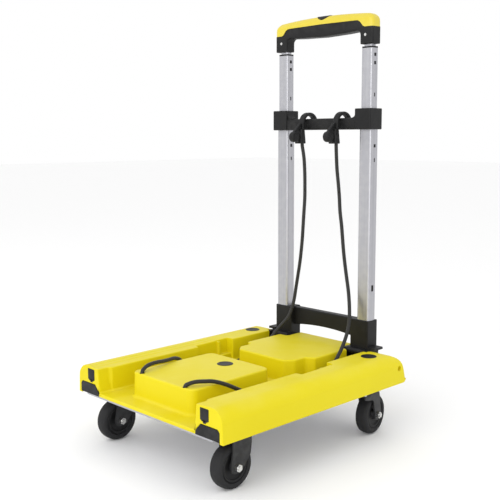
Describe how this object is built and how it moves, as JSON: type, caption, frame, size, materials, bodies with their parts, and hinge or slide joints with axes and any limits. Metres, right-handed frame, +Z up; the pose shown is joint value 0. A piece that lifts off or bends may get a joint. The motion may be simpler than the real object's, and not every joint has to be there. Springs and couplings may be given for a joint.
{
  "type": "folding platform cart",
  "caption": "Low platform cart with side rails, raised load blocks, casters, a folding telescopic handle with a hook bar, and elastic load cords.",
  "frame": {"origin": "centre of the footprint, on the floor the wheels stand on", "axes": "+Z up, +Y to the rear (handle end), +X to the right of someone who faces the rear"},
  "size_m": [0.388, 0.474, 0.783],
  "materials": {
    "yellow_moulding": "moulded, fine matt texture",
    "golden_grip": "satin moulded",
    "black_plastic": "satin moulded",
    "black_steel": "black powder coat",
    "zinc_steel": "bright zinc",
    "anodised": "satin anodised",
    "wheel_rubber": "matt rubber",
    "elastic_cord": "braided sleeve"
  },
  "bodies": {
    "deck": {"deck_moulding": "yellow_moulding", "base_plate": "anodised", "beam_left": "black_steel", "beam_right": "black_steel", "beam_plugs": "black_plastic", "window_clips": "black_plastic", "rail_caps": "black_plastic", "block_cap": "black_plastic", "hinge_bracket_left": "black_plastic", "hinge_bracket_right": "black_plastic", "hinge_pins": "zinc_steel", "plate_screws": "zinc_steel", "cord_stops": "black_plastic", "front_fork_left": "black_steel", "front_fork_right": "black_steel", "front_axles": "zinc_steel", "caster_bolts": "zinc_steel", "swivel_plate_left": "black_steel", "swivel_plate_right": "black_steel", "kingpins": "zinc_steel", "cord_left": "elastic_cord", "cord_right": "elastic_cord"},
    "handle": {"yoke": "black_plastic", "lower_tube_left": "anodised", "lower_tube_right": "anodised", "crossbar": "black_plastic", "yoke_screws": "zinc_steel", "lower_guides": "black_plastic"},
    "middle_stage": {"middle_tube_left": "anodised", "middle_tube_right": "anodised", "middle_guides": "black_plastic", "middle_locks": "black_plastic"},
    "upper_stage": {"upper_tube_left": "anodised", "upper_tube_right": "anodised", "grip_lower": "black_plastic", "grip_cover": "golden_grip", "grip_screws": "zinc_steel", "upper_locks": "black_plastic", "button_spring": "zinc_steel"},
    "release_button": {"release_button": "black_plastic", "release_bar": "zinc_steel", "pull_rods": "zinc_steel"},
    "hook_left": {"hook_left": "black_plastic"},
    "hook_right": {"hook_right": "black_plastic"},
    "rear_left_swivel": {"rear_fork_left": "black_steel", "rear_axle_left": "zinc_steel"},
    "rear_right_swivel": {"rear_fork_right": "black_steel", "rear_axle_right": "zinc_steel"},
    "front_left_wheel": {"front_left_tyre": "wheel_rubber", "front_left_hub": "black_plastic"},
    "front_right_wheel": {"front_right_tyre": "wheel_rubber", "front_right_hub": "black_plastic"},
    "rear_left_wheel": {"rear_left_tyre": "wheel_rubber", "rear_left_hub": "black_plastic"},
    "rear_right_wheel": {"rear_right_tyre": "wheel_rubber", "rear_right_hub": "black_plastic"}
  },
  "joints": [
    {"name": "handle_fold", "type": "hinge", "parent": "deck", "child": "handle", "pos_m": [0, 0.2, 0.141], "axis": [1, 0, 0], "range_deg": [0, 90], "deforming": ["cord_left", "cord_right"]},
    {"name": "middle_stage_slide", "type": "slide", "parent": "handle", "child": "middle_stage", "axis": [0, 0, 1], "range_m": [-0.105, 0.165]},
    {"name": "upper_stage_slide", "type": "slide", "parent": "middle_stage", "child": "upper_stage", "axis": [0, 0, 1], "range_m": [0, 0.165]},
    {"name": "button_press", "type": "slide", "parent": "upper_stage", "child": "release_button", "axis": [0, 0, -1], "range_m": [0, 0.004], "stiffness_N_per_m": 1500, "springref_m": -0.001, "deforming": ["button_spring"]},
    {"name": "hook_left_swing", "type": "hinge", "parent": "handle", "child": "hook_left", "pos_m": [-0.039, 0.213, 0.5765], "axis": [1, 0, 0], "range_deg": [-90, 0]},
    {"name": "hook_right_swing", "type": "hinge", "parent": "handle", "child": "hook_right", "pos_m": [0.048, 0.213, 0.5765], "axis": [1, 0, 0], "range_deg": [-90, 0]},
    {"name": "front_left_roll", "type": "hinge", "parent": "deck", "child": "front_left_wheel", "pos_m": [-0.154, -0.184, 0.0375], "axis": [1, 0, 0], "continuous": true},
    {"name": "front_right_roll", "type": "hinge", "parent": "deck", "child": "front_right_wheel", "pos_m": [0.154, -0.184, 0.0375], "axis": [1, 0, 0], "continuous": true},
    {"name": "rear_left_turn", "type": "hinge", "parent": "deck", "child": "rear_left_swivel", "pos_m": [-0.16, 0.146, 0.085], "axis": [0, 0, 1], "continuous": true},
    {"name": "rear_right_turn", "type": "hinge", "parent": "deck", "child": "rear_right_swivel", "pos_m": [0.16, 0.146, 0.085], "axis": [0, 0, 1], "continuous": true},
    {"name": "rear_left_roll", "type": "hinge", "parent": "rear_left_swivel", "child": "rear_left_wheel", "pos_m": [-0.15683, 0.17181, 0.0375], "axis": [0.9925, -0.1219, 0], "continuous": true},
    {"name": "rear_right_roll", "type": "hinge", "parent": "rear_right_swivel", "child": "rear_right_wheel", "pos_m": [0.15638, 0.17175, 0.0375], "axis": [0.9903, 0.1392, 0], "continuous": true}
  ],
  "couplings": [
    {"joint": "hook_left_swing", "follows": "handle_fold", "ratio": -1},
    {"joint": "hook_right_swing", "follows": "handle_fold", "ratio": -1}
  ]
}
